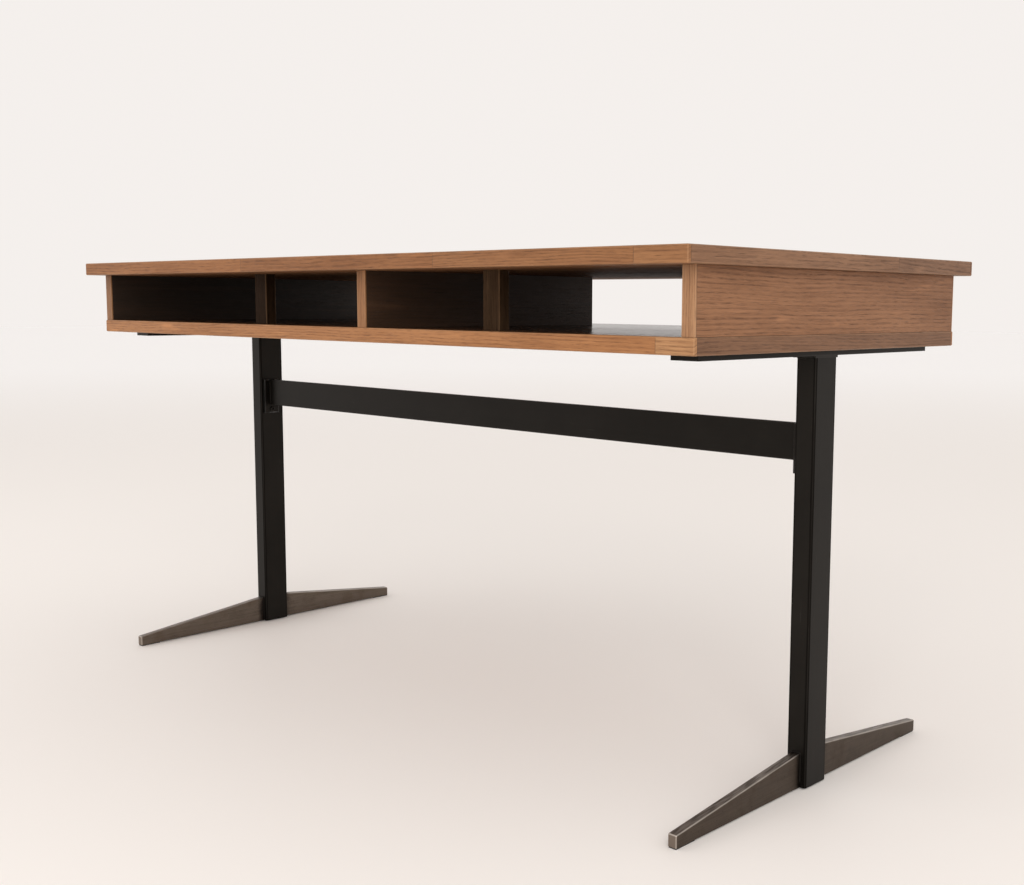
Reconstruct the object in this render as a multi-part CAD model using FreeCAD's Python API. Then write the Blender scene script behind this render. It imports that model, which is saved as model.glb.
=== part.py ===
"""Fixed-height desk: a long wooden pass-through box carried by a steel frame.

Two rectangular steel columns stand on tapered through-feet, a flat crossbar ties them together,
and a flat bar on each column carries the box. Millimetres, +Z up, +X along the desk's length,
-Y towards the sitter. The origin is on the floor under the middle of the worktop.
"""
import FreeCAD
import Part
import os

# Worktop and box
DESK_HEIGHT = 750.0
TOP_LENGTH = 1470.0
TOP_DEPTH = 704.0
BOARD_THICKNESS = 22.0
PANEL_THICKNESS = 20.0
PANEL_DEPTH = 640.0
PANEL_OUTSIDE = 1442.0
BOX_CLEAR_HEIGHT = 85.0
BOTTOM_LENGTH = 1444.0
BOTTOM_DEPTH = 644.0
DIVIDER_X = 85.0
DIVIDER_DEPTH = 500.0
EDGE_STRIP = 6.0
PANEL_EDGE_STRIP = 3.0
ARRIS = 0.8
BOARD_ARRIS = 2.0
TOP_FRONT_JOINTS = (-192.0, 289.0, 653.0)
TOP_RIGHT_JOINT = 126.0
BOTTOM_FRONT_JOINT = 663.0

# Battens between the two boards
BATTEN_WIDTH = 34.0
BATTEN_DEPTH = 20.0
BATTEN_SPACING = 592.0
BATTEN_SETBACK = 70.0

# Steel frame
FRAME_OFFSET_Y = 6.0
COLUMN_SPACING = 1360.0
COLUMN_WIDTH = 32.0
COLUMN_DEPTH = 53.0
COLUMN_WALL = 2.0
COLUMN_RADIUS = 3.5
CAP_LENGTH = 56.0
CAP_WIDTH = 37.0
CAP_INSET = 2.5
CAP_THICKNESS = 3.0
BAR_WIDTH = 43.0
BAR_INSET = 5.5
BAR_LENGTH = 566.0
BAR_SHIFT = {"left": 10.0, "right": 2.0}
BAR_THICKNESS = 8.0

# Feet
GLIDE_THICKNESS = 2.0
GLIDE_LENGTH = 40.0
FOOT_LENGTH = 608.0
FOOT_WIDTH = 14.0
FOOT_TIP_TOP = 19.0
FOOT_CREST = 52.0
FOOT_CHAMFER = 1.2
FOOT_CLEARANCE = 0.1

# Crossbar
CROSSBAR_BOTTOM = 465.0
CROSSBAR_HEIGHT = 53.0
CROSSBAR_THICKNESS = 8.0
CROSSBAR_OFFSET_Y = 2.0
FLANGE_WIDTH = 33.0
FLANGE_THICKNESS = 5.5
FLANGE_DROP = 17.0

# Fixings
DOWEL_RADIUS = 4.0
DOWEL_IN_BOARD = 13.0
DOWEL_IN_PANEL = 18.0
DOWEL_GAP = 0.1
PANEL_DOWEL_SPREAD = (-270.0, -90.0, 90.0, 270.0)
DIVIDER_DOWEL_SPREAD = (-250.0, -70.0, 110.0)
WOOD_SCREW_RADIUS = 2.4
WOOD_SCREW_HEAD = 5.0
WOOD_SCREW_CONE = 2.8
WOOD_SCREW_LENGTH = 24.0
RECESS_MOUTH = 1.8
RECESS_TIP = 0.6
RECESS_DEPTH = 1.6
WOOD_SCREW_SPREAD = (-250.0, -120.0, 120.0, 250.0)
SCREW_GAP = 0.1
M6_RADIUS = 3.0
M6_HEAD_RADIUS = 5.0
M6_HEAD_HEIGHT = 3.0
M6_SOCKET_DEPTH = 2.1
M6_LENGTH = 18.0
M6_SOCKET_RADIUS = 2.2
RIVET_NUT_RADIUS = 4.5
RIVET_NUT_LENGTH = 13.0

# Levels worked out from the sizes above
TOP_UNDERSIDE = DESK_HEIGHT - BOARD_THICKNESS
BOX_FLOOR = TOP_UNDERSIDE - BOX_CLEAR_HEIGHT
BOX_UNDERSIDE = BOX_FLOOR - BOARD_THICKNESS
BAR_UNDERSIDE = BOX_UNDERSIDE - BAR_THICKNESS
COLUMN_TOP = BAR_UNDERSIDE - CAP_THICKNESS
SIDES = (("left", -1.0), ("right", 1.0))
ENDS = (("front", -1.0), ("rear", 1.0))


def box(x_range, y_range, z_range):
    """A plain block between two corners."""
    size = [high - low for low, high in (x_range, y_range, z_range)]
    corner = FreeCAD.Vector(x_range[0], y_range[0], z_range[0])
    return Part.makeBox(size[0], size[1], size[2], corner)


def centred(middle, width):
    """The two ends of a span of this width about its middle."""
    return (middle - width / 2, middle + width / 2)


def rod(radius, length, start, direction):
    """A plain round rod."""
    return Part.makeCylinder(radius, length, FreeCAD.Vector(*start), FreeCAD.Vector(*direction))


def outer_edges(shape, faces):
    """The edges that lie in at least one of the given outside planes, as (axis, value) pairs."""
    chosen = []
    for edge in shape.Edges:
        bounds = edge.BoundBox
        spans = ((bounds.XMin, bounds.XMax), (bounds.YMin, bounds.YMax), (bounds.ZMin, bounds.ZMax))
        for axis, value in faces:
            if max(abs(limit - value) for limit in spans[axis]) < 1e-6:
                chosen.append(edge)
                break
    return chosen


def without(edges, axis, values):
    """The edges that do not lie wholly in any of these planes across one axis."""
    kept = []
    for edge in edges:
        bounds = edge.BoundBox
        span = ((bounds.XMin, bounds.XMax), (bounds.YMin, bounds.YMax))[axis]
        if all(max(abs(limit - value) for limit in span) > 1e-6 for value in values):
            kept.append(edge)
    return kept


def save(name, shape):
    """Write one node's STEP file."""
    solids = shape.Solids
    if not solids or not all(solid.isValid() for solid in solids):
        raise ValueError("bad shape in " + name)
    kept = solids[0] if len(solids) == 1 else Part.makeCompound(solids)
    kept.exportStep("parts/" + name + ".step")


def long_strips(name, joints, length, z_range, face, back):
    """The solid wood strip along one long edge, in lengths that meet at butt joints."""
    ends = [-length / 2] + list(joints) + [length / 2]
    for number in range(len(ends) - 1):
        span = (ends[number], ends[number + 1])
        strip = box(span, (min(face, back), max(face, back)), z_range)
        arrises = outer_edges(strip, [(1, face), (0, -length / 2), (0, length / 2)])
        arrises = without(without(arrises, 0, joints), 1, (back,))
        strip = strip.makeFillet(BOARD_ARRIS, arrises)
        node = name if len(ends) == 2 else name + "_" + str(number + 1)
        save(node, strip)


def short_strips(name, joints, depth, z_range, face, back):
    """The solid wood strip along one short edge, between the two long strips."""
    inner = depth / 2 - EDGE_STRIP
    ends = [-inner] + list(joints) + [inner]
    labels = [name] if not joints else [name + "_front", name + "_rear"]
    for number, node in enumerate(labels):
        span = (ends[number], ends[number + 1])
        strip = box((min(face, back), max(face, back)), span, z_range)
        arrises = without(outer_edges(strip, [(0, face)]), 1, ends)
        save(node, strip.makeFillet(BOARD_ARRIS, arrises))


def upright_rods(sites, radius, low, high):
    """Upright rods at the given places, used for dowels and for their bores."""
    return [rod(radius, high - low, (x, y, low), (0, 0, 1)) for x, y in sites]


def panel_sites():
    """Where the dowels stand, by the piece that they hold."""
    panel_x = (PANEL_OUTSIDE - PANEL_THICKNESS) / 2
    batten_y = PANEL_DEPTH / 2 - BATTEN_SETBACK - BATTEN_DEPTH / 2
    sites = {}
    for side, sign in SIDES:
        sites["dowels_end_panel_" + side] = [(sign * panel_x, y) for y in PANEL_DOWEL_SPREAD]
    sites["dowels_middle_divider"] = [(DIVIDER_X, y) for y in DIVIDER_DOWEL_SPREAD]
    sites["dowels_battens"] = [
        (sx * BATTEN_SPACING / 2, sy * batten_y) for sx in (-1, 1) for sy in (-1, 1)
    ]
    return sites


def bored(shape, sites, low, high):
    """A shape with a clearance bore for each dowel."""
    return shape.cut(upright_rods(sites, DOWEL_RADIUS + DOWEL_GAP, low, high))


def make_dowels():
    """Beech dowels, top and bottom of every upright piece of the box."""
    for node, sites in panel_sites().items():
        dowels = []
        for level, board_way in ((TOP_UNDERSIDE, 1), (BOX_FLOOR, -1)):
            low = level - (DOWEL_IN_PANEL if board_way > 0 else DOWEL_IN_BOARD)
            low += DOWEL_GAP
            high = level + (DOWEL_IN_BOARD if board_way > 0 else DOWEL_IN_PANEL)
            high -= DOWEL_GAP
            dowels += upright_rods(sites, DOWEL_RADIUS, low, high)
        save(node, Part.makeCompound(dowels))


def make_top():
    """The worktop: a veneered core with solid wood strips round its edge."""
    z_range = (TOP_UNDERSIDE, DESK_HEIGHT)
    half_x = TOP_LENGTH / 2
    half_y = TOP_DEPTH / 2
    core_x = (EDGE_STRIP - half_x, half_x - EDGE_STRIP)
    core_y = (EDGE_STRIP - half_y, half_y - EDGE_STRIP)
    core = box(core_x, core_y, z_range)
    all_sites = [site for sites in panel_sites().values() for site in sites]
    save("worktop_core", bored(core, all_sites, TOP_UNDERSIDE, TOP_UNDERSIDE + DOWEL_IN_BOARD))
    long_strips("worktop_edge_front", TOP_FRONT_JOINTS, TOP_LENGTH, z_range, -half_y, EDGE_STRIP - half_y)
    long_strips("worktop_edge_rear", (), TOP_LENGTH, z_range, half_y, half_y - EDGE_STRIP)
    short_strips("worktop_edge_left", (), TOP_DEPTH, z_range, -half_x, EDGE_STRIP - half_x)
    short_strips("worktop_edge_right", (TOP_RIGHT_JOINT,), TOP_DEPTH, z_range, half_x, half_x - EDGE_STRIP)


def wood_screw_sites(side, sign):
    """Where the wood screws pass through one support bar."""
    x = sign * (COLUMN_SPACING / 2 - BAR_INSET)
    return [(x, y + BAR_SHIFT[side]) for y in WOOD_SCREW_SPREAD]


def make_bottom():
    """The box's bottom board, with dowel bores above and pilot bores below."""
    z_range = (BOX_UNDERSIDE, BOX_FLOOR)
    half_x = BOTTOM_LENGTH / 2
    half_y = BOTTOM_DEPTH / 2
    core_x = (EDGE_STRIP - half_x, half_x - EDGE_STRIP)
    core_y = (EDGE_STRIP - half_y, half_y - EDGE_STRIP)
    core = box(core_x, core_y, z_range)
    all_sites = [site for sites in panel_sites().values() for site in sites]
    core = bored(core, all_sites, BOX_FLOOR - DOWEL_IN_BOARD, BOX_FLOOR)
    pilot_top = BAR_UNDERSIDE + WOOD_SCREW_LENGTH + SCREW_GAP
    for side, sign in SIDES:
        sites = wood_screw_sites(side, sign)
        core = core.cut(upright_rods(sites, WOOD_SCREW_RADIUS + SCREW_GAP, BOX_UNDERSIDE, pilot_top))
    save("bottom_core", core)
    front = (BOTTOM_FRONT_JOINT,)
    long_strips("bottom_edge_front", front, BOTTOM_LENGTH, z_range, -half_y, EDGE_STRIP - half_y)
    long_strips("bottom_edge_rear", (), BOTTOM_LENGTH, z_range, half_y, half_y - EDGE_STRIP)
    short_strips("bottom_edge_left", (), BOTTOM_DEPTH, z_range, -half_x, EDGE_STRIP - half_x)
    short_strips("bottom_edge_right", (), BOTTOM_DEPTH, z_range, half_x, half_x - EDGE_STRIP)


def make_upright(name, x_range, depth, sites):
    """An upright panel, flush with the box's front, with a thin edge strip front and rear."""
    z_range = (BOX_FLOOR, TOP_UNDERSIDE)
    front = -PANEL_DEPTH / 2
    faces = {"front": front, "rear": front + depth}
    panel = box(x_range, (front + PANEL_EDGE_STRIP, front + depth - PANEL_EDGE_STRIP), z_range)
    panel = bored(panel, sites, BOX_FLOOR, BOX_FLOOR + DOWEL_IN_PANEL)
    save(name, bored(panel, sites, TOP_UNDERSIDE - DOWEL_IN_PANEL, TOP_UNDERSIDE))
    for end, sign in ENDS:
        face = faces[end]
        strip = box(x_range, sorted((face, face - sign * PANEL_EDGE_STRIP)), z_range)
        uprights = [
            edge
            for edge in outer_edges(strip, [(1, face)])
            if edge.BoundBox.ZLength > BOX_CLEAR_HEIGHT / 2
        ]
        save(name + "_edge_" + end, strip.makeFillet(ARRIS, uprights))


def make_battens():
    """Four upright battens that stiffen the box between the panels and the divider."""
    z_range = (BOX_FLOOR, TOP_UNDERSIDE)
    for x, y in panel_sites()["dowels_battens"]:
        batten = box(centred(x, BATTEN_WIDTH), centred(y, BATTEN_DEPTH), z_range)
        uprights = [edge for edge in batten.Edges if edge.BoundBox.ZLength > BOX_CLEAR_HEIGHT / 2]
        batten = batten.makeFillet(2 * ARRIS, uprights)
        batten = bored(batten, [(x, y)], BOX_FLOOR, BOX_FLOOR + DOWEL_IN_PANEL)
        batten = bored(batten, [(x, y)], TOP_UNDERSIDE - DOWEL_IN_PANEL, TOP_UNDERSIDE)
        name = "batten_" + ("front" if y < 0 else "rear") + "_" + ("left" if x < 0 else "right")
        save(name, batten)


def tube(x, width, depth, radius, z_range):
    """A solid bar with rounded upright corners, the inside or outside of a rectangular tube."""
    bar = box(centred(x, width), centred(FRAME_OFFSET_Y, depth), z_range)
    uprights = [edge for edge in bar.Edges if edge.BoundBox.ZLength > COLUMN_TOP / 2]
    return bar.makeFillet(radius, uprights)


def make_column(side, sign):
    """A rectangular tube, slotted front and rear for the foot and bored for the rivet nut."""
    x = sign * COLUMN_SPACING / 2
    z_range = (GLIDE_THICKNESS, COLUMN_TOP)
    outer = tube(x, COLUMN_WIDTH, COLUMN_DEPTH, COLUMN_RADIUS, z_range)
    width = COLUMN_WIDTH - 2 * COLUMN_WALL
    depth = COLUMN_DEPTH - 2 * COLUMN_WALL
    inner = tube(x, width, depth, COLUMN_RADIUS - COLUMN_WALL, z_range)
    slot_width = FOOT_WIDTH + 2 * FOOT_CLEARANCE
    slot_top = FOOT_CREST + FOOT_CLEARANCE
    slot = box(centred(x, slot_width), centred(FRAME_OFFSET_Y, 2 * COLUMN_DEPTH), (0, slot_top))
    face_x = sign * (COLUMN_SPACING - COLUMN_WIDTH) / 2
    nut_bore = rod(
        RIVET_NUT_RADIUS + SCREW_GAP,
        2 * COLUMN_WALL,
        (face_x - sign * COLUMN_WALL, CROSSBAR_OFFSET_Y, screw_height()),
        (sign, 0, 0),
    )
    save("column_" + side, outer.cut([inner, slot, nut_bore]))


def screw_height():
    """The level of the crossbar's screws, in the middle of the flange's drop."""
    return CROSSBAR_BOTTOM - FLANGE_DROP / 2


def make_cap_and_bar(side, sign):
    """The cap plate on the column and the flat bar that carries the box."""
    cap_x = centred(sign * (COLUMN_SPACING / 2 - CAP_INSET), CAP_WIDTH)
    cap_y = centred(FRAME_OFFSET_Y, CAP_LENGTH)
    save("cap_plate_" + side, box(cap_x, cap_y, (COLUMN_TOP, BAR_UNDERSIDE)))
    bar_x = centred(sign * (COLUMN_SPACING / 2 - BAR_INSET), BAR_WIDTH)
    bar_y = centred(BAR_SHIFT[side], BAR_LENGTH)
    bar = box(bar_x, bar_y, (BAR_UNDERSIDE, BOX_UNDERSIDE))
    ends = outer_edges(bar, [(1, bar_y[0]), (1, bar_y[1])])
    bar = bar.makeFillet(ARRIS, ends)
    screws = []
    for place_x, place_y in wood_screw_sites(side, sign):
        bottom = FreeCAD.Vector(place_x, place_y, BAR_UNDERSIDE)
        sink_radius = WOOD_SCREW_HEAD + SCREW_GAP
        bore_radius = WOOD_SCREW_RADIUS + SCREW_GAP
        bar = bar.cut(Part.makeCone(sink_radius, bore_radius, WOOD_SCREW_CONE, bottom))
        bar = bar.cut(Part.makeCylinder(bore_radius, BAR_THICKNESS, bottom))
        head = Part.makeCone(WOOD_SCREW_HEAD, WOOD_SCREW_RADIUS, WOOD_SCREW_CONE, bottom)
        shank = Part.makeCylinder(WOOD_SCREW_RADIUS, WOOD_SCREW_LENGTH, bottom)
        recess = Part.makeCone(RECESS_MOUTH, RECESS_TIP, RECESS_DEPTH, bottom)
        screws.append(head.fuse(shank).cut(recess))
    save("support_bar_" + side, bar)
    save("bar_wood_screws_" + side, Part.makeCompound(screws))


def make_foot(side, sign):
    """One tapered steel foot that runs through the column, on two thin glides."""
    x = sign * COLUMN_SPACING / 2
    front = FRAME_OFFSET_Y - FOOT_LENGTH / 2
    rear = FRAME_OFFSET_Y + FOOT_LENGTH / 2
    crest_front = FRAME_OFFSET_Y - COLUMN_DEPTH / 2
    crest_rear = FRAME_OFFSET_Y + COLUMN_DEPTH / 2
    outline = [
        (front, GLIDE_THICKNESS),
        (rear, GLIDE_THICKNESS),
        (rear, FOOT_TIP_TOP),
        (crest_rear, FOOT_CREST),
        (crest_front, FOOT_CREST),
        (front, FOOT_TIP_TOP),
    ]
    near = x - FOOT_WIDTH / 2
    points = [FreeCAD.Vector(near, y, z) for y, z in outline]
    face = Part.Face(Part.makePolygon(points + points[:1]))
    foot = face.extrude(FreeCAD.Vector(FOOT_WIDTH, 0, 0))
    arrises = []
    for edge in foot.Edges:
        bounds = edge.BoundBox
        sloping = bounds.ZLength > 1 and bounds.YLength > 1
        tip_upright = bounds.ZLength > 1 and bounds.YLength < 1e-6
        tip_top = bounds.XLength > 1 and abs(bounds.ZMin - FOOT_TIP_TOP) < 1e-6
        if sloping or tip_upright or tip_top:
            arrises.append(edge)
    save("foot_" + side, foot.makeChamfer(FOOT_CHAMFER, arrises))
    glides = []
    for start in (front, rear - GLIDE_LENGTH):
        glide = box(centred(x, FOOT_WIDTH - 2), (start + 1, start + GLIDE_LENGTH - 1), (0, GLIDE_THICKNESS))
        glides.append(glide)
    save("foot_glides_" + side, Part.makeCompound(glides))


def make_crossbar():
    """The flat crossbar between the columns."""
    half = (COLUMN_SPACING - COLUMN_WIDTH) / 2 - FLANGE_THICKNESS
    z_range = (CROSSBAR_BOTTOM, CROSSBAR_BOTTOM + CROSSBAR_HEIGHT)
    bar = box((-half, half), centred(CROSSBAR_OFFSET_Y, CROSSBAR_THICKNESS), z_range)
    lengthwise = [edge for edge in bar.Edges if edge.BoundBox.XLength > half]
    save("crossbar", bar.makeFillet(ARRIS, lengthwise))


def make_crossbar_fixing(side, sign):
    """The crossbar's end flange, its screw, and the rivet nut inside the column."""
    face_x = sign * (COLUMN_SPACING - COLUMN_WIDTH) / 2
    inner_x = face_x - sign * FLANGE_THICKNESS
    z_range = (CROSSBAR_BOTTOM - FLANGE_DROP, CROSSBAR_BOTTOM + CROSSBAR_HEIGHT)
    flange = box(sorted((face_x, inner_x)), centred(CROSSBAR_OFFSET_Y, FLANGE_WIDTH), z_range)
    flange = flange.makeFillet(ARRIS, outer_edges(flange, [(0, inner_x)]))
    level = screw_height()
    start = (inner_x - sign, CROSSBAR_OFFSET_Y, level)
    bore = rod(M6_RADIUS + SCREW_GAP, FLANGE_THICKNESS + 2, start, (sign, 0, 0))
    save("crossbar_flange_" + side, flange.cut(bore))
    head_start = (inner_x - sign * M6_HEAD_HEIGHT, CROSSBAR_OFFSET_Y, level)
    head = rod(M6_HEAD_RADIUS, M6_HEAD_HEIGHT, head_start, (sign, 0, 0))
    dome = outer_edges(head, [(0, head_start[0])])
    head = head.makeFillet(M6_HEAD_HEIGHT / 2, dome)
    shank = rod(M6_RADIUS, M6_LENGTH, (inner_x, CROSSBAR_OFFSET_Y, level), (sign, 0, 0))
    socket = rod(M6_SOCKET_RADIUS, M6_SOCKET_DEPTH, head_start, (sign, 0, 0))
    save("crossbar_screw_" + side, head.fuse(shank).cut(socket))
    nut = rod(RIVET_NUT_RADIUS, RIVET_NUT_LENGTH, (face_x, CROSSBAR_OFFSET_Y, level), (sign, 0, 0))
    thread = rod(M6_RADIUS + SCREW_GAP, RIVET_NUT_LENGTH, (face_x, CROSSBAR_OFFSET_Y, level), (sign, 0, 0))
    save("rivet_nut_" + side, nut.cut(thread))


def main():
    """Build every piece and write its STEP file."""
    os.makedirs("parts", exist_ok=True)
    make_top()
    make_bottom()
    sites = panel_sites()
    for side, sign in SIDES:
        x_range = sorted((sign * PANEL_OUTSIDE / 2, sign * (PANEL_OUTSIDE / 2 - PANEL_THICKNESS)))
        make_upright("end_panel_" + side, x_range, PANEL_DEPTH, sites["dowels_end_panel_" + side])
    middle = centred(DIVIDER_X, PANEL_THICKNESS)
    make_upright("middle_divider", middle, DIVIDER_DEPTH, sites["dowels_middle_divider"])
    make_battens()
    make_dowels()
    for side, sign in SIDES:
        make_column(side, sign)
        make_cap_and_bar(side, sign)
        make_foot(side, sign)
        make_crossbar_fixing(side, sign)
    make_crossbar()


main()
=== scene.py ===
import bpy
import math
from mathutils import Matrix, Vector


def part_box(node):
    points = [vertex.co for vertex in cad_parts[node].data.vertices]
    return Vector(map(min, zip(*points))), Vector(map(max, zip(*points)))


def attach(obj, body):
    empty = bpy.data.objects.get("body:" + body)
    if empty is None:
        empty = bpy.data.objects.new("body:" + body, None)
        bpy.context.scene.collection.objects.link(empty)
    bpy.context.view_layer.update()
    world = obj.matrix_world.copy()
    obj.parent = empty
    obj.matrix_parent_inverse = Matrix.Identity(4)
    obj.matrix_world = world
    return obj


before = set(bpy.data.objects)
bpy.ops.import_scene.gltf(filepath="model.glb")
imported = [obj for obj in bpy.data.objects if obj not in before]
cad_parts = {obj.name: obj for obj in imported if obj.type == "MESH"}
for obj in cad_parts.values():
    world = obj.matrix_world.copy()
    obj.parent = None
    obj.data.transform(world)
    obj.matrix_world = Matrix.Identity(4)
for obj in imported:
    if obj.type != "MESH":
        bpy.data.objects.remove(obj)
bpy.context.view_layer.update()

# Looks of a fixed-height desk: oiled oak box on black painted columns with bare steel feet.
# Everything is in metres, +Z up, -Y towards the sitter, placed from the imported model.

SIDES = (("left", -1), ("right", 1))
# The painted pieces that come in pairs, and each one's long axis
STEEL_PARTS = (("support_bar_", 1), ("cap_plate_", 1), ("crossbar_flange_", 2), ("crossbar_screw_", 0))

# Oak tones as linear colours: pale early wood, mid, dark open pore
OAK_PANEL = ((0.298, 0.140, 0.065), (0.172, 0.073, 0.031), (0.058, 0.022, 0.0095))
OAK_STRIP = ((0.300, 0.128, 0.050), (0.175, 0.067, 0.024), (0.065, 0.023, 0.009))
OAK_PALE_STRIP = ((0.385, 0.182, 0.080), (0.240, 0.101, 0.040), (0.085, 0.033, 0.014))
OAK_GREY_STRIP = ((0.261, 0.135, 0.072), (0.147, 0.070, 0.0355), (0.055, 0.025, 0.0125))
OAK_DULL_STRIP = ((0.215, 0.106, 0.054), (0.126, 0.059, 0.0295), (0.048, 0.021, 0.0105))
BATTEN_WOOD = ((0.057, 0.029, 0.0145), (0.032, 0.0150, 0.0072), (0.012, 0.0055, 0.0027))
BEECH = ((0.640, 0.440, 0.260), (0.500, 0.320, 0.180), (0.320, 0.190, 0.100))
# Painted shade: the dark brown laid over the wood inside the box, where it is in shade
PAINTED_SHADE = (0.022, 0.0135, 0.0085)
# Worn wood at the edges, also a painted highlight along them
WORN_WOOD_AND_HIGHLIGHT = (0.480, 0.285, 0.155)
SEAM = (0.030, 0.016, 0.009)
NO_TINT = (1.0, 1.0, 1.0)
# Red, green and blue factors that make single pieces lighter or darker than the tones above
TINTS = {
    "worktop_edge_front_1": (1.13, 1.11, 0.94),
    "worktop_edge_front_2": (1.03, 1.03, 0.94),
    "worktop_edge_front_3": (1.04, 1.09, 1.07),
    "worktop_edge_front_4": (1.16, 1.28, 1.33),
    "bottom_edge_front_1": (1.08, 1.04, 0.91),
    "bottom_edge_front_2": (1.19, 1.33, 1.38),
    "worktop_edge_right_front": (1.03, 1.03, 1.02),
    "worktop_edge_right_rear": (0.92, 0.93, 0.95),
    "end_panel_left_edge_front": (0.84, 0.89, 0.92),
    "middle_divider_edge_front": (0.92, 0.94, 0.90),
    "end_panel_right_edge_front": (1.10, 1.26, 1.45),
    "batten_front_left": (0.67, 0.71, 0.74),
    "batten_front_right": (1.40, 1.58, 1.65),
}
# Sheets of the boards' veneer, and how far each is moved along the grain and up in the log
LEAF_WIDTH = 0.1384
LEAF_SHIFT = 0.431
LEAF_RISE = 0.0037
GLUE_LINE = 0.0006

# Paint rubbed thin at the corners, and a painted bluish highlight on the left crossbar flange's edges
RUBBED_PAINT = (0.060, 0.055, 0.050)
FLANGE_EDGE_HIGHLIGHT = (0.330, 0.350, 0.370)
# Bare steel as linear colours: dark, light, brown patina
GROUND_STEEL = ((0.036, 0.0270, 0.0205), (0.165, 0.130, 0.1030), (0.048, 0.0330, 0.0230))
RUST = (0.018, 0.0095, 0.0055)
# Near-black tone for the foot beside the column
DARK_BY_COLUMN = (0.014, 0.012, 0.011)
FRESH_CUT = (0.270, 0.222, 0.185)
# Painted highlight on the feet's top faces
CREST_HIGHLIGHT = (0.300, 0.262, 0.230)
# Worn foot edges, with a painted highlight on them
WORN_EDGE_AND_HIGHLIGHT = (0.560, 0.510, 0.460)
# Radii of the weld beads
CAP_BEAD = 0.0013
FOOT_BEAD = 0.0014
CROSSBAR_BEAD = 0.0012


def whole_box(*names):
    """The lowest and highest corners of several CAD nodes taken together."""
    corners = [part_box(name) for name in names]
    low = Vector([min(c[0][i] for c in corners) for i in range(3)])
    high = Vector([max(c[1][i] for c in corners) for i in range(3)])
    return low, high


class Graph:
    """One material's node tree, built a socket at a time."""

    def __init__(self, name):
        self.material = bpy.data.materials.new(name)
        self.material.use_nodes = True
        self.tree = self.material.node_tree
        self.tree.nodes.clear()
        self.shader = self.add("ShaderNodeBsdfPrincipled")
        output = self.add("ShaderNodeOutputMaterial")
        self.tree.links.new(self.shader.outputs[0], output.inputs[0])
        self.place = self.add("ShaderNodeTexCoord").outputs["Object"]
        split = self.add("ShaderNodeSeparateXYZ")
        self.feed(split.inputs[0], self.place)
        self.xyz = [split.outputs[i] for i in range(3)]

    def add(self, kind, **settings):
        node = self.tree.nodes.new(kind)
        for key, value in settings.items():
            setattr(node, key, value)
        return node

    def feed(self, socket, value):
        if isinstance(value, bpy.types.NodeSocket):
            self.tree.links.new(value, socket)
        else:
            socket.default_value = value

    def math(self, operation, a, b=0.0, c=0.0):
        node = self.add("ShaderNodeMath", operation=operation)
        for socket, value in zip(node.inputs, (a, b, c)):
            self.feed(socket, value)
        return node.outputs[0]

    def total(self, *terms):
        """The sum of value * weight over (value, weight) pairs and plain numbers."""
        result = 0.0
        for term in terms:
            if isinstance(term, tuple):
                result = self.math("MULTIPLY_ADD", term[0], term[1], result)
            else:
                result = self.math("ADD", result, term)
        return result

    def join(self, x, y, z):
        node = self.add("ShaderNodeCombineXYZ")
        for socket, value in zip(node.inputs, (x, y, z)):
            self.feed(socket, value)
        return node.outputs[0]

    def noise(self, place, detail=3.0, roughness=0.5):
        node = self.add("ShaderNodeTexNoise")
        self.feed(node.inputs["Vector"], place)
        node.inputs["Scale"].default_value = 1.0
        node.inputs["Detail"].default_value = detail
        node.inputs["Roughness"].default_value = roughness
        return node.outputs["Fac"]

    def grain(self, rates, detail=3.0, roughness=0.5, shifts=(0.0, 0.0, 0.0)):
        """Noise over the place, at a rate per metre along each axis or one rate for all."""
        if isinstance(rates, float):
            rates = (rates, rates, rates)
        moved = [self.math("MULTIPLY_ADD", *terms) for terms in zip(self.xyz, rates, shifts)]
        return self.noise(self.join(*moved), detail, roughness)

    def smooth(self, value, low, high, out_low=0.0, out_high=1.0):
        node = self.add("ShaderNodeMapRange", interpolation_type="SMOOTHSTEP")
        for socket, number in zip(node.inputs, (value, low, high, out_low, out_high)):
            self.feed(socket, number)
        return node.outputs[0]

    def blend(self, factor, a, b):
        node = self.add("ShaderNodeMix", data_type="RGBA")
        colours = [s for s in node.inputs if s.type == "RGBA"]
        self.feed(node.inputs[0], factor)
        for socket, value in zip(colours, (a, b)):
            self.feed(socket, (*value, 1.0) if isinstance(value, tuple) else value)
        return [s for s in node.outputs if s.type == "RGBA"][0]

    def bump(self, height, depth, strength=1.0):
        node = self.add("ShaderNodeBump")
        node.inputs["Strength"].default_value = strength
        node.inputs["Distance"].default_value = depth
        self.feed(node.inputs["Height"], height)
        self.feed(self.shader.inputs["Normal"], node.outputs[0])

    def face_gaps(self, low, high, axes):
        """The distance to the nearer of the two faces of a box, along each axis."""
        gaps = []
        for i in axes:
            down = self.math("SUBTRACT", self.xyz[i], low[i])
            up = self.math("SUBTRACT", high[i], self.xyz[i])
            gaps.append(self.math("ABSOLUTE", self.math("MINIMUM", down, up)))
        return gaps

    def edge_gap(self, low, high, axes=(0, 1, 2)):
        """The distance to the nearest edge of a box, on any of its faces."""
        gaps = self.face_gaps(low, high, axes)
        if len(gaps) == 2:
            return self.math("MAXIMUM", gaps[0], gaps[1])
        lesser = self.math("MINIMUM", gaps[0], gaps[1])
        greater = self.math("MAXIMUM", gaps[0], gaps[1])
        return self.math("MAXIMUM", lesser, self.math("MINIMUM", greater, gaps[2]))

    def within(self, low, high):
        """1 inside a box and 0 outside it."""
        inside = 1.0
        for i in range(3):
            middle, half = (low[i] + high[i]) / 2, (high[i] - low[i]) / 2
            off = self.math("ABSOLUTE", self.math("SUBTRACT", self.xyz[i], middle))
            inside = self.math("MULTIPLY", inside, self.math("LESS_THAN", off, half))
        return inside


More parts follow.
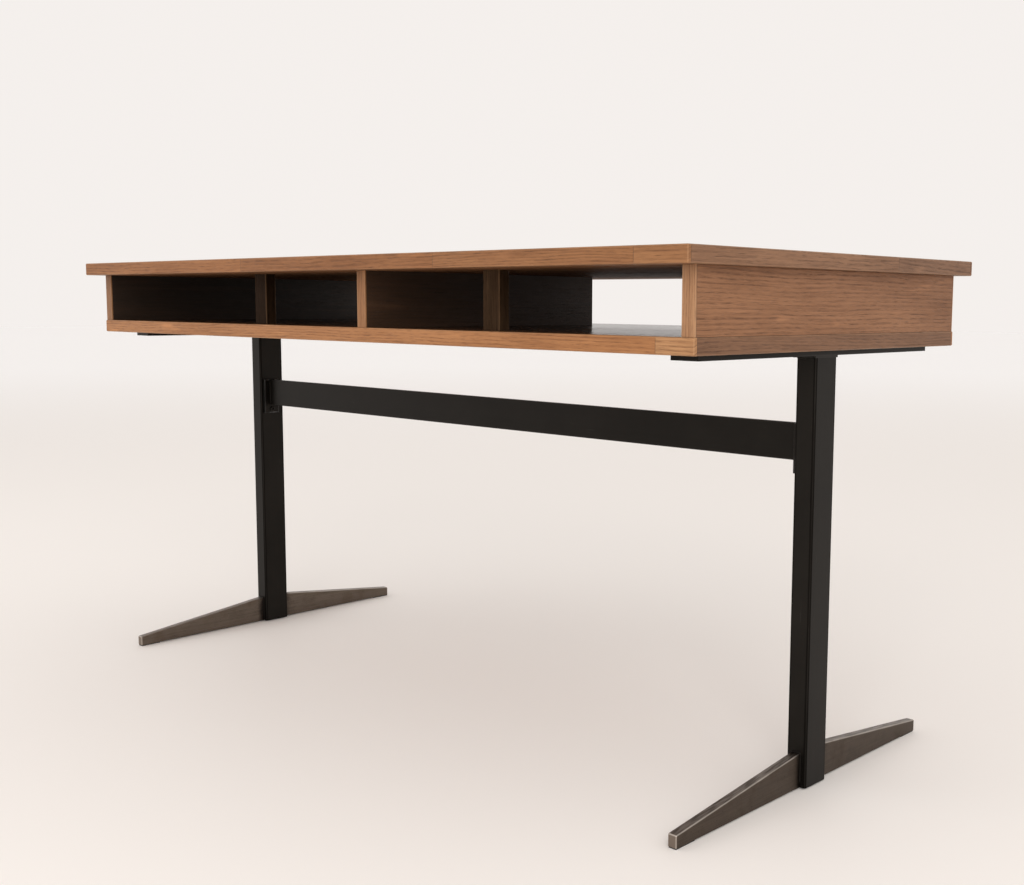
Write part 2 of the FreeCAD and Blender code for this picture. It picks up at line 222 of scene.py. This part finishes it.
def wood(name, along, tones, seed, log, ring, edge_box, own, leaf=None, gloss=0.0, raw_unshaded=False, inside_shade=1.06):
    """Oiled wood with growth rings about a log centre, fibres, open pores, seams, worn edges with a
    painted highlight, and painted shade inside the box.

    along is the grain's axis, log is the centre of the rings across the grain from the piece's
    middle, edge_box is the (low, high, axes) of the box whose edges are rubbed and lightened with a
    painted highlight, own is the piece's box for its glue lines, and leaf is the (axis, width) of
    the sheets of a veneer. Inside the desk's box, gloss makes the wood smoother, raw_unshaded
    leaves out the painted shade there and makes the wood less shiny, and inside_shade is how far
    the painted shade covers it otherwise.
    """
    g = Graph(name)
    across = [i for i in range(3) if i != along]
    tint = TINTS.get(name, NO_TINT)
    tones = [tuple(c * t for c, t in zip(tone, tint)) for tone in tones]
    low, high = own
    middle = [(low[i] + high[i]) / 2 for i in range(3)]
    a = g.math("ADD", g.xyz[along], seed * 1.37)
    u, v = (g.math("SUBTRACT", g.xyz[i], middle[i]) for i in across)
    if leaf:
        axis, width = leaf
        from_low = g.math("SUBTRACT", g.xyz[axis], low[axis])
        sheet = g.math("FLOOR", g.math("DIVIDE", from_low, width))
        turned = g.math("PINGPONG", from_low, width)
        a = g.math("MULTIPLY_ADD", sheet, LEAF_SHIFT, a)
        v = g.math("MULTIPLY_ADD", sheet, LEAF_RISE, v)
        u = g.math("SUBTRACT", turned, width / 2)

    def cloud(rate_along, rate_across, detail=2.0):
        """Soft variation, longer along the grain than across it."""
        point = g.join(
            g.math("MULTIPLY", a, rate_along),
            g.math("MULTIPLY_ADD", u, rate_across, seed * 3.1),
            g.math("MULTIPLY_ADD", v, rate_across, seed * 7.7),
        )
        return g.noise(point, detail)

    from_u = g.math("SUBTRACT", u, log[0])
    from_v = g.math("SUBTRACT", v, log[1])
    radius = g.total((g.math("POWER", from_u, 2.0), 1.0), (g.math("POWER", from_v, 2.0), 1.0))
    radius = g.total((g.math("SQRT", radius), 1.0), (cloud(1.5, 11.0), 0.024), (cloud(9.0, 45.0), 0.0045))
    radius = g.total((radius, 1.0), (cloud(32.0, 160.0), 0.0009))
    turn = g.math("MULTIPLY", g.math("ADD", from_u, from_v), 24.0)

    def streaks(rate_along, rate_across, detail=2.0, roughness=0.5):
        """Streaks that follow the growth rings."""
        point = g.join(
            g.math("MULTIPLY", a, rate_along),
            g.math("MULTIPLY_ADD", radius, rate_across, seed * 5.3),
            g.math("ADD", turn, rate_along),
        )
        return g.noise(point, detail, roughness)

    phase = g.math("FRACT", g.math("DIVIDE", radius, ring))
    early = g.math("MULTIPLY", g.smooth(phase, 0.0, 0.10), g.smooth(phase, 0.22, 0.60, 1.0, 0.0))
    strength = g.smooth(streaks(4.0, 70.0), 0.34, 0.66, 0.25, 1.0)
    vein = g.math("MULTIPLY", early, strength)
    broken = g.smooth(streaks(45.0, 300.0, 3.0, 0.6), 0.38, 0.62, 0.20, 1.0)
    vein = g.math("MULTIPLY", vein, broken)
    fibre = streaks(14.0, 640.0, 4.0, 0.65)
    ribbon = streaks(2.6, 120.0, 3.0, 0.55)
    patch = cloud(4.5, 18.0)
    pore = g.smooth(streaks(60.0, 1500.0), 0.54, 0.66)
    pore = g.math("MULTIPLY", pore, g.math("MULTIPLY_ADD", early, 0.6, 0.4))
    dash = g.smooth(streaks(36.0, 760.0), 0.56, 0.70)
    darkness = g.total((vein, 0.45), (fibre, 1.30), (ribbon, 0.60), (patch, 1.00), -1.25)
    colour = g.blend(g.smooth(darkness, -0.25, 0.85), tones[0], tones[1])
    colour = g.blend(g.math("MULTIPLY", vein, 0.22), colour, tones[2])
    colour = g.blend(g.math("MULTIPLY", dash, 0.30), colour, tones[2])
    colour = g.blend(g.math("MULTIPLY", pore, 0.42), colour, tones[2])
    if leaf:
        join = g.math("MINIMUM", turned, g.math("SUBTRACT", width, turned))
        colour = g.blend(g.smooth(join, 0.0, 0.0007, 0.45, 0.0), colour, SEAM)
    flash = g.smooth(cloud(11.0, 70.0), 0.62, 0.78, 0.0, 0.45)
    colour = g.blend(flash, colour, tuple(1.5 * c for c in tones[0]))
    glue = g.smooth(g.edge_gap(low, high), 0.0, GLUE_LINE, 0.75, 0.0)
    rubbed_and_highlit_edge = 0.0
    if edge_box:
        edge = g.edge_gap(*edge_box)
        ragged = g.math("MULTIPLY_ADD", cloud(30.0, 300.0, 3.0), 0.0022, edge)
        rubbed_and_highlit_edge = g.smooth(ragged, 0.0014, 0.0034, 1.0, 0.0)
        glue = g.math("MULTIPLY", glue, g.smooth(edge, 0.0008, 0.0022))
    colour = g.blend(glue, colour, SEAM)
    if edge_box:
        # Edges lightened: wear, and a painted highlight along them
        colour = g.blend(g.math("MULTIPLY", rubbed_and_highlit_edge, 0.24), colour, WORN_WOOD_AND_HIGHLIGHT)
    # Painted shade: faces inside the box are darkened towards the dark brown, broken a little by the
    # grain
    inside = g.within(*BOX_INSIDE)
    if not raw_unshaded:
        shade_cover = g.total((fibre, -0.20), (ribbon, -0.20), inside_shade)
        colour = g.blend(g.math("MULTIPLY", inside, shade_cover), colour, PAINTED_SHADE)
    g.feed(g.shader.inputs["Base Color"], colour)
    grit = g.math("MULTIPLY_ADD", inside, -2.8 * gloss, 1.0)
    uneven = g.total((pore, 0.14), (fibre, 0.14), (patch, 0.12))
    dull = g.total((g.math("MULTIPLY", uneven, grit), 1.0), (rubbed_and_highlit_edge, -0.05), (inside, -gloss), 0.34)
    g.feed(g.shader.inputs["Roughness"], dull)
    g.feed(g.shader.inputs["Specular IOR Level"], g.total((inside, gloss * 2.0), 0.03 if raw_unshaded else 0.26))
    relief = g.total((pore, -1.0), (dash, -0.8), (vein, -0.6), (fibre, 0.35), (glue, -1.2))
    g.bump(g.math("MULTIPLY", relief, grit), 0.00020, 0.8)
    return g.material


def paint(name, low, high, edge_axes, long_axis, seed, edge_tone=RUBBED_PAINT, shade=0.0):
    """Satin black paint over steel: fine orange peel, brush drag, rubs, dust and worn corners, which are
    a painted highlight on the left flange.

    edge_tone is the tone of the rubbed edges, except on the left flange where it is a painted highlight,
    and shade is how far the paint runs dark beside them.
    """
    g = Graph(name)
    rates = [160.0, 160.0, 160.0]
    rates[long_axis] = 6.0
    drag = g.grain(rates, 4.0, 0.6, (seed, seed + 1, seed + 2))
    peel = g.grain(900.0, 2.0)
    shifts = (seed, seed, seed)
    cloud = g.grain(9.0, 4.0, 0.6, shifts)
    rates = [700.0, 700.0, 700.0]
    rates[long_axis] = 22.0
    scratch = g.grain(rates, 2.0, shifts=shifts)
    scratch = g.math("MULTIPLY", g.smooth(scratch, 0.70, 0.76), g.smooth(cloud, 0.45, 0.62))
    colour = g.blend(g.smooth(cloud, 0.3, 0.7), (0.0034, 0.0029, 0.0024), (0.0070, 0.0060, 0.0050))
    colour = g.blend(g.math("MULTIPLY", drag, 0.25), colour, (0.0120, 0.0110, 0.0100))
    colour = g.blend(g.math("MULTIPLY", scratch, 0.35), colour, (0.045, 0.042, 0.038))
    edge = g.math("MULTIPLY_ADD", cloud, 0.0016, g.edge_gap(low, high, edge_axes))
    rubbed_and_highlit_edge = g.math("MULTIPLY", g.smooth(edge, 0.0012, 0.0032, 1.0, 0.0), g.smooth(drag, 0.35, 0.65))
    # Rubbed corners lightened; on the left flange this is a painted highlight
    colour = g.blend(g.math("MULTIPLY", rubbed_and_highlit_edge, 0.30), colour, edge_tone)
    g.feed(g.shader.inputs["Base Color"], colour)
    dull = g.total((cloud, 0.18), (drag, 0.16), (scratch, 0.15), (rubbed_and_highlit_edge, -0.05), 0.17)
    g.feed(g.shader.inputs["Roughness"], dull)
    beside = g.math("MULTIPLY", g.smooth(edge, 0.0016, 0.0026), g.smooth(edge, 0.0040, 0.0052, 1.0, 0.0))
    g.feed(g.shader.inputs["Specular IOR Level"], g.math("MULTIPLY_ADD", beside, -0.13 * shade, 0.14))
    g.shader.inputs["Specular Tint"].default_value = (1.0, 0.90, 0.80, 1.0)
    g.bump(g.total((peel, 0.35), (drag, 0.8), (scratch, -1.0)), 0.00006, 0.8)
    return g.material


def foot_steel(node, column, tint):
    """Bare ground steel with lengthwise marks, brown patina, worn bright edges with a painted highlight,
    a painted highlight on the top face, and darker steel by the column.
    """
    g = Graph(node)
    low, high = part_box(node)
    tube_low, tube_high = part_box(column)
    middle = (tube_low.y + tube_high.y) / 2
    half = (tube_high.y - tube_low.y) / 2
    y, z = g.xyz[1:]
    grind = g.grain((900.0, 14.0, 900.0), 4.0, 0.65)
    brush = g.grain((260.0, 4.0, 260.0), 3.0)
    mottle = g.grain(24.0, 5.0, 0.62)
    speck = g.grain(420.0, 2.0)
    away = g.math("ABSOLUTE", g.math("SUBTRACT", y, middle))
    past = g.math("SUBTRACT", away, half)
    run = (high.y - low.y) / 2 - half
    slope_top = g.math("MULTIPLY_ADD", past, (TIP_TOP - high.z) / run, high.z)
    under_top = g.math("ABSOLUTE", g.math("SUBTRACT", slope_top, z))
    side = g.face_gaps(low, high, (0,))[0]
    end = g.math("SUBTRACT", run, past)
    long_edge = g.math("MAXIMUM", under_top, side)
    end_edge = g.math("MAXIMUM", g.math("ABSOLUTE", end), g.math("MINIMUM", side, under_top))
    edge = g.math("MULTIPLY_ADD", mottle, 0.0014, g.math("MINIMUM", long_edge, end_edge))
    # Bright edges: worn steel, and a painted highlight along them
    edge_wear_and_highlight = g.smooth(edge, 0.0009, 0.0027, 1.0, 0.0)
    # Painted highlight: the foot's top face made lighter in streaks
    crest_highlight = g.math("MULTIPLY", g.smooth(under_top, 0.0, 0.0006, 1.0, 0.0), g.smooth(brush, 0.38, 0.60))
    dark, light, patina = (tuple(c * t for c, t in zip(tone, tint)) for tone in GROUND_STEEL)
    colour = g.blend(g.total((grind, 0.70), (brush, 0.25), (mottle, 0.75), -0.42), dark, light)
    colour = g.blend(g.smooth(mottle, 0.46, 0.70, 0.0, 0.55), colour, patina)
    colour = g.blend(g.smooth(speck, 0.66, 0.74, 0.0, 0.5), colour, RUST)
    fresh = g.smooth(g.math("ABSOLUTE", end), 0.0006, 0.0014, 0.7, 0.0)
    colour = g.blend(fresh, colour, FRESH_CUT)
    colour = g.blend(g.math("MULTIPLY", crest_highlight, 0.55), colour, CREST_HIGHLIGHT)
    colour = g.blend(g.math("MULTIPLY", edge_wear_and_highlight, 0.72), colour, WORN_EDGE_AND_HIGHLIGHT)
    # The foot made darker within a few centimetres of the column
    dark_by_column = g.math("MULTIPLY_ADD", mottle, 0.030, past)
    dark_by_column = g.smooth(dark_by_column, 0.012, 0.030, 0.92, 0.0)
    colour = g.blend(dark_by_column, colour, DARK_BY_COLUMN)
    g.feed(g.shader.inputs["Base Color"], colour)
    g.shader.inputs["Metallic"].default_value = 1.0
    g.feed(g.shader.inputs["Roughness"], g.total((grind, 0.22), (mottle, 0.20), (edge_wear_and_highlight, -0.08), 0.22))
    g.bump(g.total((grind, 0.8), (brush, 0.3), (speck, -0.25)), 0.00010, 0.7)
    return g.material


def zinc(name):
    """Bright zinc plate with a faint crystal bloom."""
    g = Graph(name)
    bloom = g.grain(260.0, 4.0, 0.6)
    fine = g.grain(2200.0, 2.0)
    colour = g.blend(bloom, (0.46, 0.46, 0.44), (0.70, 0.70, 0.67))
    g.feed(g.shader.inputs["Base Color"], colour)
    g.shader.inputs["Metallic"].default_value = 1.0
    g.feed(g.shader.inputs["Roughness"], g.total((bloom, 0.2), (fine, 0.1), 0.22))
    g.bump(fine, 0.00003, 0.6)
    return g.material


def plastic(name):
    """Matt black moulded plastic, scuffed grey."""
    g = Graph(name)
    grain = g.grain(1800.0, 3.0)
    scuff = g.grain(90.0, 4.0, 0.65)
    colour = g.blend(g.smooth(scuff, 0.5, 0.72), (0.012, 0.012, 0.012), (0.045, 0.042, 0.038))
    g.feed(g.shader.inputs["Base Color"], colour)
    g.feed(g.shader.inputs["Roughness"], g.total((scuff, 0.25), (grain, 0.1), 0.42))
    g.bump(grain, 0.00008, 0.7)
    return g.material


def dress(node, material):
    """Gives a CAD node its material, and nothing else."""
    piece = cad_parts[node]
    if not piece.data.materials:
        piece.data.materials.append(material)
    for slot in piece.material_slots:
        slot.material = material


def weld(name, points, radius, material, seed):
    """A rippled weld bead along a run of points, with tapered ends."""
    sides, pitch = 10, radius * 0.55
    rings = []
    for start, end in zip(points, points[1:]):
        run = end - start
        steps = max(2, round(run.length / pitch))
        for k in range(steps):
            rings.append((start + run * (k / steps), run.normalized()))
    rings.append((points[-1], (points[-1] - points[-2]).normalized()))
    vertices, faces = [], []
    count = len(rings)
    for k, (centre, way) in enumerate(rings):
        ripple = 1.0 + 0.13 * math.sin(k * 1.9 + seed) + 0.05 * math.sin(k * 0.37 + 2 * seed)
        taper = min(1.0, 0.25 + min(k, count - 1 - k) * 0.25)
        helper = Vector((0, 0, 1)) if abs(way.z) < 0.9 else Vector((1, 0, 0))
        first = way.cross(helper).normalized()
        second = way.cross(first).normalized()
        for s in range(sides):
            turn = 2 * math.pi * s / sides
            reach = radius * ripple * taper
            vertices.append(centre + (first * math.cos(turn) + second * math.sin(turn)) * reach)
    for k in range(count - 1):
        for s in range(sides):
            t = (s + 1) % sides
            faces.append((k * sides + s, k * sides + t, (k + 1) * sides + t, (k + 1) * sides + s))
    faces.append(tuple(reversed(range(sides))))
    faces.append(tuple((count - 1) * sides + s for s in range(sides)))
    mesh = bpy.data.meshes.new(name)
    mesh.from_pydata(vertices, [], faces)
    mesh.shade_smooth()
    mesh.materials.append(material)
    piece = bpy.data.objects.new(name, mesh)
    bpy.context.scene.collection.objects.link(piece)
    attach(piece, "root")


# The inside of the box, whose faces get painted shade
panel_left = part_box("end_panel_left")
panel_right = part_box("end_panel_right")
board_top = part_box("worktop_core")
board_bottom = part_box("bottom_core")
HAIR = 0.0004
BOX_INSIDE = (
    Vector((panel_left[1].x - HAIR, panel_left[0].y - HAIR, board_bottom[1].z - HAIR)),
    Vector((panel_right[0].x + HAIR, panel_right[1].y + HAIR, board_top[0].z + HAIR)),
)
# The foot's height at its tips, as a share of its whole height
TIP_SHARE = 0.34
foot_low, foot_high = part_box("foot_right")
TIP_TOP = foot_low.z + (foot_high.z - foot_low.z) * TIP_SHARE


def dress_boards():
    """The veneered worktop and bottom board, with their solid strips."""
    names = sorted(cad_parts)
    for number, board in enumerate(("worktop", "bottom")):
        members = [n for n in names if n == board + "_core" or n.startswith(board + "_edge")]
        low, high = whole_box(*members)
        for index, node in enumerate(members):
            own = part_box(node)
            seed = 2.0 + 11.0 * number + 1.7 * index
            edge_box = (low, high, (0, 1, 2))
            if node.endswith("_core"):
                # Gloss inside the box, and how far painted shade covers each core's inner faces
                gloss, inside_shade = ((-0.09, 0.32), (0.205, 0.89))[number]
                heart = (0.03, -0.09)
                finish = {"leaf": (1, LEAF_WIDTH), "gloss": gloss, "inside_shade": inside_shade}
                material = wood(node, 0, OAK_PANEL, seed, heart, 0.0042, edge_box, own, **finish)
            elif "left" in node or "right" in node:
                tones = OAK_DULL_STRIP if number else OAK_GREY_STRIP
                material = wood(node, 1, tones, seed, (-0.05, -0.06), 0.0040, edge_box, own)
            else:
                tones = OAK_STRIP if board == "worktop" else OAK_PALE_STRIP
                offset = (0.02 + 0.01 * (index % 3), -0.07)
                material = wood(node, 0, tones, seed, offset, 0.0036 + 0.0005 * (index % 3), edge_box, own)
            dress(node, material)


def dress_uprights():
    """End panels, divider, their edge strips, and the battens and dowels."""
    for index, panel in enumerate(("end_panel_left", "end_panel_right", "middle_divider")):
        ends = [panel + "_edge_front", panel + "_edge_rear"]
        low, high = whole_box(panel, *ends)
        edge_box = (low, high, (0, 1))
        seed = 31.0 + 5.3 * index
        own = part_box(panel)
        # Painted shade inside the box, deepest on the left end panel
        inside_shade = 1.18 if panel == "end_panel_left" else 1.06
        dress(panel, wood(panel, 1, OAK_PANEL, seed, (0.04, -0.105), 0.0056, edge_box, own, inside_shade=inside_shade))
        for k, node in enumerate(ends):
            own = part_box(node)
            heart = (-0.06, -0.02)
            dress(node, wood(node, 2, OAK_PALE_STRIP, seed + 1.1 + k, heart, 0.0035, edge_box, own))
    for index, node in enumerate(sorted(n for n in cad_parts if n.startswith("batten"))):
        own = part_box(node)
        edge_box = (own[0], own[1], (0, 1))
        material = wood(node, 2, BATTEN_WOOD, 50.0 + index, (-0.05, 0.04), 0.0040, edge_box, own, raw_unshaded=True)
        dress(node, material)
    for index, node in enumerate(sorted(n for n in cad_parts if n.startswith("dowels"))):
        dress(node, wood(node, 2, BEECH, 60.0 + index, (0.03, 0.03), 0.0030, None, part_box(node)))


def dress_steel():
    """The painted frame, the bare feet and the fixings."""
    black = paint("black_weld", *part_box("column_right"), (0, 1), 2, 4.0)
    for index, (side, sign) in enumerate(SIDES):
        column = "column_" + side
        low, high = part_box(column)
        dress(column, paint(column, low, high, (0, 1), 2, 1.0 + index, shade=0.9))
        for kind, axis in STEEL_PARTS:
            node = kind + side
            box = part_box(node)
            # The left flange's edges get a painted highlight in place of rubbed paint
            edge_tone = FLANGE_EDGE_HIGHLIGHT if node == "crossbar_flange_left" else RUBBED_PAINT
            dress(node, paint(node, box[0], box[1], (0, 1, 2), axis, 7.0 + index, edge_tone))
        foot = "foot_" + side
        # Painted light: the left foot is a lighter copy of the same steel, standing in for the brighter
        # reflection it shows
        tint = (1.55, 1.60, 1.65) if side == "left" else NO_TINT
        dress(foot, foot_steel(foot, column, tint))
        dress("foot_glides_" + side, plastic("foot_glides_" + side))
        for fixing in ("bar_wood_screws_" + side, "rivet_nut_" + side):
            dress(fixing, zinc(fixing))
        make_welds(side, sign, black)
    low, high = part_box("crossbar")
    dress("crossbar", paint("crossbar", low, high, (1, 2), 0, 12.0))


def make_welds(side, sign, black):
    """Weld beads round the column's top, by the foot, and at the crossbar's flange."""
    low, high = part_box("column_" + side)
    inset = 0.0035
    above_floor = 0.006
    top = high.z - 0.0006
    inner, outer = (low.x, high.x) if sign > 0 else (high.x, low.x)
    corners = [
        Vector((outer - sign * inset, low.y, top)),
        Vector((inner + sign * inset, low.y, top)),
        Vector((inner, low.y + inset, top)),
        Vector((inner, high.y - inset, top)),
    ]
    weld("weld_cap_" + side, corners, CAP_BEAD, black, 1)
    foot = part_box("foot_" + side)
    for end, y in (("front", low.y), ("rear", high.y)):
        route = [
            Vector((foot[0].x, y, low.z + above_floor)),
            Vector((foot[0].x, y, foot[1].z)),
            Vector((foot[1].x, y, foot[1].z)),
            Vector((foot[1].x, y, low.z + above_floor)),
        ]
        weld("weld_foot_" + end + "_" + side, route, FOOT_BEAD, black, 3)
    bar_low, bar_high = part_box("crossbar")
    x = (bar_low.x if sign < 0 else bar_high.x) - sign * 0.0004
    for end, y in (("front", bar_low.y), ("rear", bar_high.y)):
        route = [Vector((x, y, bar_low.z + 0.002)), Vector((x, y, bar_high.z - 0.002))]
        weld("weld_crossbar_" + end + "_" + side, route, CROSSBAR_BEAD, black, 5)


def make_floor():
    """A plain pale studio floor, whiter far off so that it meets the background softly."""
    size = 30.0
    mesh = bpy.data.meshes.new("floor")
    corners = [(-size, -size, 0), (size, -size, 0), (size, size, 0), (-size, size, 0)]
    mesh.from_pydata(corners, [], [(0, 1, 2, 3)])
    floor = bpy.data.objects.new("floor", mesh)
    bpy.context.scene.collection.objects.link(floor)
    g = Graph("floor")
    away = g.total(*[(g.math("POWER", c, 2.0), 1.0) for c in g.xyz[:2]])
    far = g.smooth(g.math("SQRT", away), 2.5, 12.0)
    g.feed(g.shader.inputs["Base Color"], g.blend(far, (0.90, 0.87, 0.84), (1.0, 1.0, 1.0)))
    g.shader.inputs["Roughness"].default_value = 0.6
    g.shader.inputs["Specular IOR Level"].default_value = 0.25
    mesh.materials.append(g.material)


def area_light(name, place, target, size, power, colour):
    """A square soft box aimed at a point."""
    data = bpy.data.lights.new(name, "AREA")
    data.shape = "SQUARE"
    data.size = size
    data.energy = power
    data.color = colour
    lamp = bpy.data.objects.new(name, data)
    lamp.location = place
    lamp.rotation_euler = (Vector(target) - Vector(place)).to_track_quat("-Z", "Y").to_euler()
    bpy.context.scene.collection.objects.link(lamp)


def make_lights():
    """Soft daylight from the front right, a weaker fill, and a pale room all round."""
    world = bpy.data.worlds.new("studio")
    world.use_nodes = True
    background = world.node_tree.nodes["Background"]
    background.inputs["Color"].default_value = (1.0, 0.955, 0.925, 1.0)
    background.inputs["Strength"].default_value = 0.91
    bpy.context.scene.world = world
    aim = (0.1, 0.0, 0.55)
    area_light("key", (2.6, -2.7, 2.0), aim, 2.2, 55.0, (1.0, 0.975, 0.95))
    area_light("fill", (-2.6, -2.4, 1.8), aim, 2.6, 12.0, (1.0, 0.98, 0.96))


def make_camera():
    """The view from the front right, a little below the worktop."""
    data = bpy.data.cameras.new("camera")
    data.lens = 43.92
    data.sensor_width = 36.0
    data.shift_x = -0.0923
    data.shift_y = 0.0059
    data.clip_start = 0.05
    data.clip_end = 200.0
    camera = bpy.data.objects.new("camera", data)
    place = (1.6257, -1.4712, 0.6817)
    yaw, pitch, roll = 0.7355, 0.1156, 0.0076
    turn = Matrix.Rotation(yaw, 4, "Z") @ Matrix.Rotation(math.pi / 2 - pitch, 4, "X")
    turn = turn @ Matrix.Rotation(roll, 4, "Z")
    camera.matrix_world = Matrix.Translation(place) @ turn
    bpy.context.scene.collection.objects.link(camera)
    bpy.context.scene.camera = camera
    bpy.context.scene.view_settings.view_transform = "Standard"


make_camera()
make_lights()
make_floor()
dress_boards()
dress_uprights()
dress_steel()
